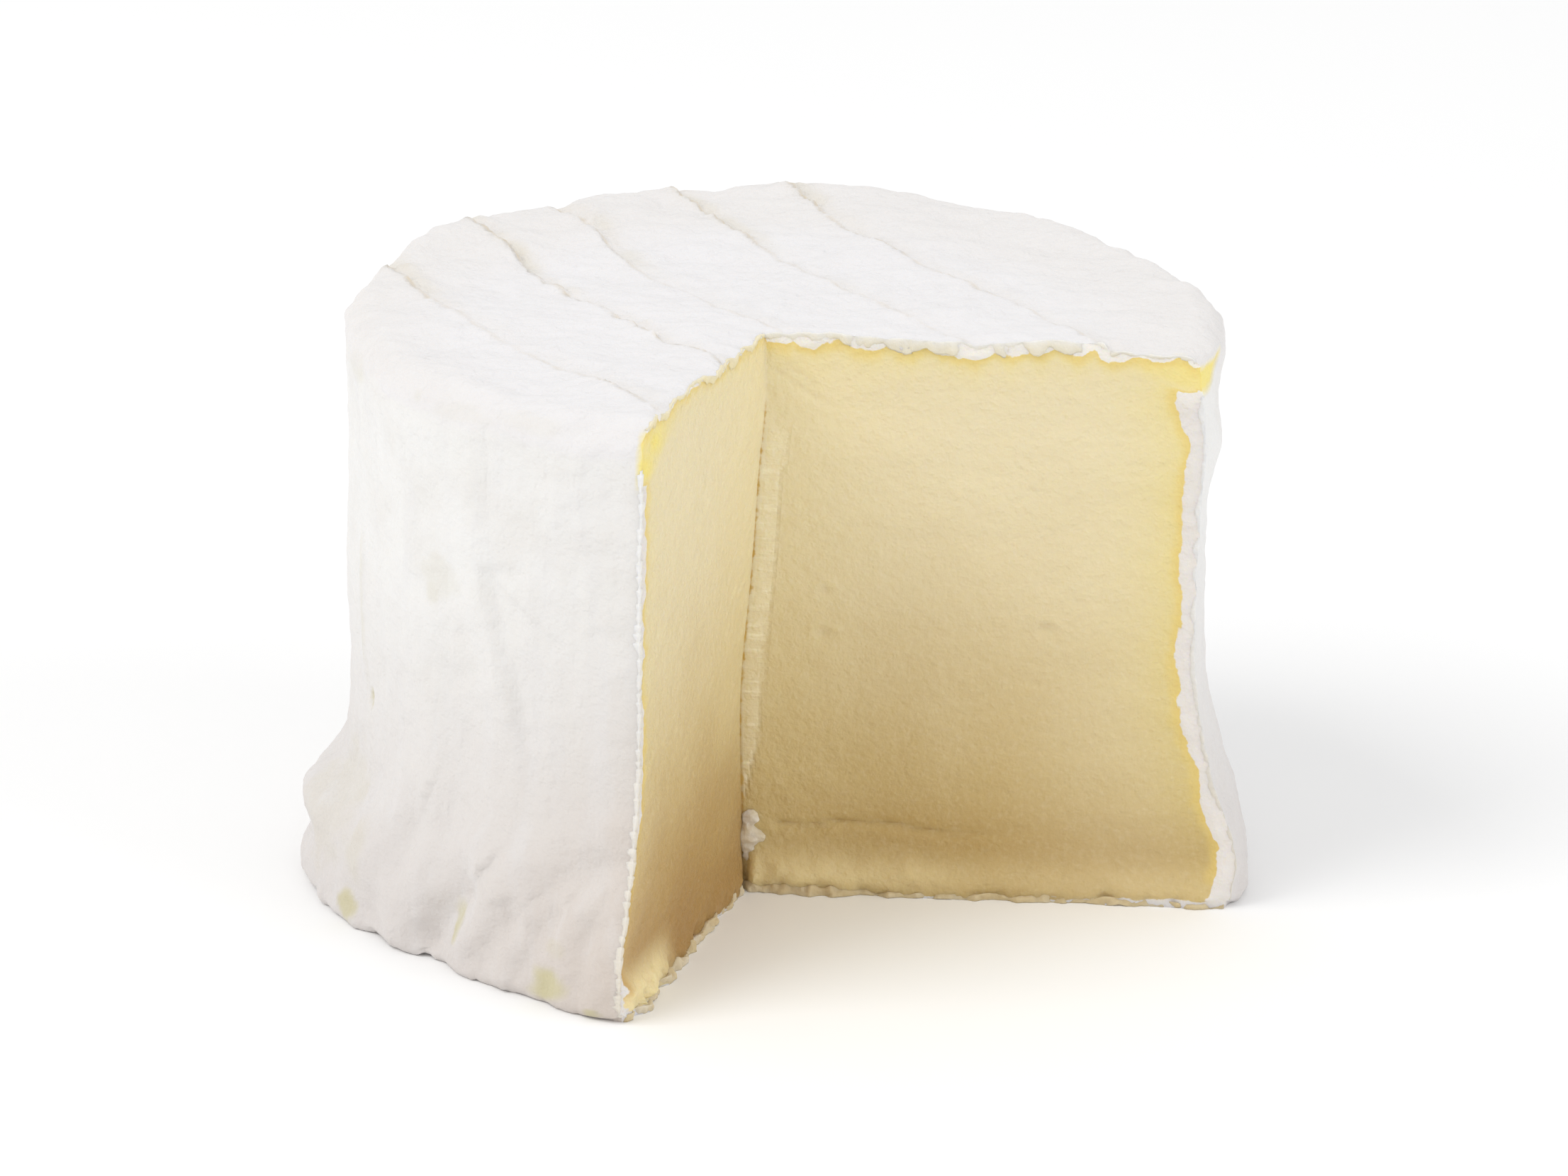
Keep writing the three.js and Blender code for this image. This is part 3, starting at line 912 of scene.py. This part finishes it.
def teeth(along, size, seed):
    """A ragged line along an edge: broad lobes, and small teeth on them, from about -1 to 1."""
    place = np.stack([along, 0 * along, 0 * along], axis=-1)
    small = 0.45 * cloud(place, size / 2.5, seed + 1) + 0.2 * cloud(place, size / 5, seed + 2)
    return 0.7 * cloud(place, size, seed) + small


# Along the top of the right-hand cut hang lobes; along the left one the knife dragged small teeth.
edge, along = resampled(skin[side_rows:, 0][::-1], ribbon_step)
lobes = scallops(along, lobe_period)
down = (0.6 + 0.6 * lobes) * (0.6 + 0.4 * rise(along, 0, 4)) * (1 - 0.7 * rise(along, 29, 35))
down = np.maximum(down + 0.3 * teeth(along, 1.4, 101), 0.25)
outward = np.broadcast_to(right_outward, edge.shape)
over = 0.9 + 0.3 * teeth(along, 2, 105)
bulge = 0.05 + 0.04 * teeth(along, 1.2, 109)
add_lip(edge, outward, over, down, bulge, 0.06, (0.1, 0.6), 111)

edge, along = resampled(skin[side_rows:, -1][::-1], ribbon_step)
outward = np.broadcast_to(left_outward, edge.shape)
down = np.maximum(0.7 + 0.4 * teeth(along, 1.2, 121), 0.25)
over = 0.8 + 0.3 * teeth(along, 1.6, 125)
bulge = 0.06 + 0.05 * teeth(along, 1.0, 129)
add_lip(edge, outward, over, down, bulge, 0.08, (0.7, 1), 131)

# Down the wall the left cut's lip is a band of small overlapping scales; the right one is thin.
edge, along = resampled(skin[4:side_rows - 8, -1], ribbon_step)
outward = np.broadcast_to(left_outward, edge.shape)
scales = (along / 1.3 + 0.7 * teeth(along, 2.0, 141)) % 1
down = np.maximum(0.9 + 0.2 * scales + 0.25 * teeth(along, 2.6, 143), 0.3)
over = np.maximum(0.8 + 0.35 * scales + 0.25 * teeth(along, 2.6, 147), 0.2)
add_lip(edge, outward, over, down, 0.04 + 0.14 * scales, 0.06, (0, 0.3), 151)

edge, along = resampled(skin[4:side_rows - 10, 0], ribbon_step)
outward = np.broadcast_to(right_outward, edge.shape)
down = np.maximum(0.45 + 0.25 * teeth(along, 2.0, 161), 0.2)
over = np.maximum(0.35 + 0.2 * teeth(along, 1.5, 165), 0.12)
add_lip(edge, outward, over, down, 0.04 + 0.03 * teeth(along, 1, 167), 0.05, (0, 0.1), 171)


def add_fringe(net, outward, reach, height, cream, seed):
    """Adds a ribbon along the foot of a face: a ragged pulled edge that lies on the table."""
    edge, along = resampled(net[0], ribbon_step)
    reach = np.maximum(reach(along), 0.08)
    height = np.maximum(height(along), 0.15)
    turn = np.linspace(0, np.pi / 2, 11)
    x = reach[:, None] * np.sin(turn)
    z = height[:, None] * np.cos(turn)
    x = np.concatenate([-ribbon_depth + 0 * x[:, :1], x, -0.6 + 0 * x[:, :1]], axis=1)
    z = np.concatenate([height[:, None] * 0.9, z, 0 * z[:, :1]], axis=1)
    section = edge[:, None] + x[..., None] * outward
    section[..., 2] = z
    rough = 0.26 * clouds(section, 1.3, seed) + 0.2 * cloud(section, 0.5, seed + 7)
    rough[:, [0, -1]] = 0
    section = section + rough[..., None] * (outward + (0, 0, 0.6))
    section[..., 2] = np.maximum(section[..., 2], 0)
    section[:, -1, 2] = 0
    shade = np.clip(cream + 0.5 * cloud(section, 1.6, seed + 11), 0, 1)
    add_ribbon(section, shade)


def flaps(along, places):
    """How far single flaps stand out, each with its place along the foot, its width and its reach."""
    return sum(out * hump(along - at, wide) for at, wide, out in places)


left_flaps = ((17.5, 0.7, 1.0), (22, 0.9, 0.6), (24.5, 0.8, 0.7), (12, 0.8, 0.4), (30, 1.0, 0.5))
right_flaps = (
    (0.8, 0.9, 0.5), (3.9, 1.0, 0.4), (6.6, 0.7, 0.6), (8.8, 0.6, 0.5), (14, 0.8, 0.4), (22, 0.8, 0.4),
)
add_fringe(
    right_net, right_outward,
    lambda along: 0.2 + 0.25 * teeth(along, 4.2, 181) + flaps(along, right_flaps),
    lambda along: 0.6 + 0.5 * teeth(along, 4.0, 185) + 0.5 * flaps(along, right_flaps), 0.8, 191,
)
add_fringe(
    left_net, left_outward,
    lambda along: 0.1 + 0.2 * teeth(along, 4.0, 201) + 0.8 * flaps(along, left_flaps),
    lambda along: 0.6 + 0.5 * teeth(along, 4.4, 205) + 0.6 * flaps(along, left_flaps), 0.6, 211,
)

# Where the two cuts cross above the foot, crumbs cling to the corner in one lumpy heap.
heap_z = np.arange(2.4, 7.8, 0.1)
drift = knife_drift(np.stack([0 * heap_z, heap_z], axis=-1))[:, :2]
corner_line = np.column_stack([corner_at(heap_z) + drift, heap_z])
thick = 0.5 + 0.3 * teeth(heap_z, 1.5, 221)
thick = thick * np.sqrt(rise(heap_z, 2.3, 3.6) * (1 - rise(heap_z, 6.8, 7.9)))
turn = np.linspace(0, 2 * np.pi, 28, endpoint=False)[:, None]
ring = 1.9 * np.cos(turn) * right_way + np.sin(turn) * right_outward
section = corner_line[:, None] + thick[:, None, None] * ring
section = section + 0.8 * right_way + 0.1 * right_outward
lumpy = 0.3 * clouds(section, 1.0, 223) + 0.22 * cloud(section, 0.45, 227)
section = section + (lumpy * np.minimum(thick * 2, 1)[:, None])[..., None] * (right_way + right_outward)
add_ribbon(section, 0.25 + 0.4 * cloud(section, 0.8, 229))

edge_points = np.concatenate(ribbon_points)
edges_painted = {"cream": np.concatenate(ribbon_creams), "height": edge_points[:, 2]}
edges = add_piece("rind_edges", edge_points, ribbon_faces, edges_painted)

crumb = Surface("crumb_cream")
shade = crumb.mix(crumb.painted("cream"), paint(233, 232, 231), paint(231, 216, 172))
# Painted shade: the crumbs darken to tan towards the foot, the creamier ones most.
low = crumb.rise(crumb.painted("height") + crumb.noise(5.0) * 8, 46.0, 2.0)
shade = crumb.mix(low * (crumb.painted("cream") * 0.5 + 0.4), shade, paint(200, 180, 142))
edges.data.materials.append(crumb.finish(
    Base_Color=shade, Roughness=0.9, Specular_IOR_Level=0.2,
    Subsurface_Weight=0.35, Subsurface_Radius=(1.0, 0.9, 0.7), Subsurface_Scale=0.0008,
    Normal=crumb.bump(crumb.noise(0.3) * 0.08),
))
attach(edges, "root")
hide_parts("cheese_wheel")

# A few loose crumbs lie on the table beside the flaps: six by the right face's foot and nine by the
# left one's. Each is a ball, stretched and made uneven, and they look like the torn edges.
source = np.random.default_rng(5)
ball_mesh = bmesh.new()
bmesh.ops.create_icosphere(ball_mesh, subdivisions=3, radius=1.0)
ball = np.array([vert.co for vert in ball_mesh.verts])
ball_faces = np.array([[vert.index for vert in face.verts] for face in ball_mesh.faces])
ball_mesh.free()
crumb_places = []
for count, nearest, farthest, way, closest, outward in (
    (6, 0.3, 9, right_way, 0.5, right_outward), (9, 10, 31, left_way, 0.3, left_outward),
):
    along_foot = source.uniform(nearest, farthest, (count, 1)) * way
    from_foot = source.uniform(closest, 1.0, (count, 1)) * outward
    crumb_places.append(np.append(foot_corner, 0.2) + along_foot + from_foot)
crumb_places = np.concatenate(crumb_places)[:, None]
crumb_sizes = source.uniform(0.12, 0.34, len(crumb_places))
coarse = cloud(ball[None] * 1.1 + crumb_places * 9, 1.0, 97)
fine = cloud(ball[None] * 2.6 + crumb_places * 9, 1.0, 98)
uneven = 1 + 0.45 * coarse + 0.2 * fine
stretch = crumb_sizes[:, None] * source.uniform(0.7, 1.3, (len(crumb_places), 3))
crumb_points = crumb_places + ball[None] * stretch[:, None] * uneven[..., None]
crumb_points[..., 2] = np.maximum(crumb_points[..., 2], 0.01)
crumb_numbers = np.arange(len(crumb_points))[:, None, None] * len(ball)
crumb_faces = (ball_faces[None] + crumb_numbers).reshape(-1, 3).tolist()
crumbs = add_piece("crumbs", crumb_points.reshape(-1, 3), crumb_faces, {
    "cream": np.repeat(source.uniform(0, 0.6, len(crumb_points)), len(ball)),
    "height": crumb_points[..., 2].ravel(),
})
crumbs.data.materials.append(edges.data.materials[0])
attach(crumbs, "root")
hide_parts("cheese_wheel")
